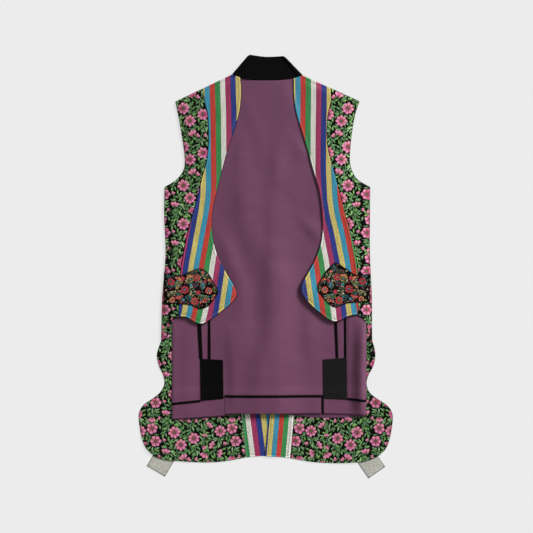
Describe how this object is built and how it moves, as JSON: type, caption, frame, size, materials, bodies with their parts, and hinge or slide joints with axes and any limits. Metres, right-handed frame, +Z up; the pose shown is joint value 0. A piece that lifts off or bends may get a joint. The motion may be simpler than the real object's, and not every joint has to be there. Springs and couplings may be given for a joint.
{
  "type": "waistcoat",
  "caption": "Long sleeveless waistcoat laid flat with its short fronts open: flowered and striped cloth, plum lining with black tapes, black stand collar and flared vented skirt",
  "frame": {"origin": "middle of the waistcoat's outline on the surface it lies on", "axes": "+X across the garment to the viewer's right, +Y from the hem to the collar, +Z up from the surface"},
  "size_m": [0.5592, 0.9328, 0.0101],
  "materials": {
    "floral": "flowered woven cloth on a black ground",
    "stripe": "fine twill in narrow bright stripes",
    "lining": "soft plum plain weave",
    "black": "matt black ribbed cloth",
    "pocket": "embroidered black cloth",
    "tab": "pale grey felt"
  },
  "bodies": {
    "root": {"back_floral_left": "floral", "back_floral_right": "floral", "front_floral_left": "floral", "front_floral_right": "floral", "back_stripe_left": "stripe", "back_stripe_right": "stripe", "front_stripe_left": "stripe", "front_stripe_right": "stripe", "lining_back": "lining", "lining_side_left": "lining", "lining_side_right": "lining", "hem_band_left": "lining", "hem_band_middle": "lining", "hem_band_right": "lining", "hem_facing_left": "lining", "hem_facing_right": "lining", "hem_tape_left": "black", "hem_tape_middle": "black", "hem_tape_right": "black", "drop_tape_right": "black", "bar_left_outer": "black", "bar_left_inner": "black", "bar_right_inner": "black", "bar_right_outer": "black", "vent_panel_left": "black", "vent_panel_right": "black", "collar_back": "black", "collar_left": "black", "collar_right": "black", "pocket_left": "pocket", "pocket_right": "pocket", "tab_left": "tab", "tab_right": "tab"}
  },
  "joints": []
}
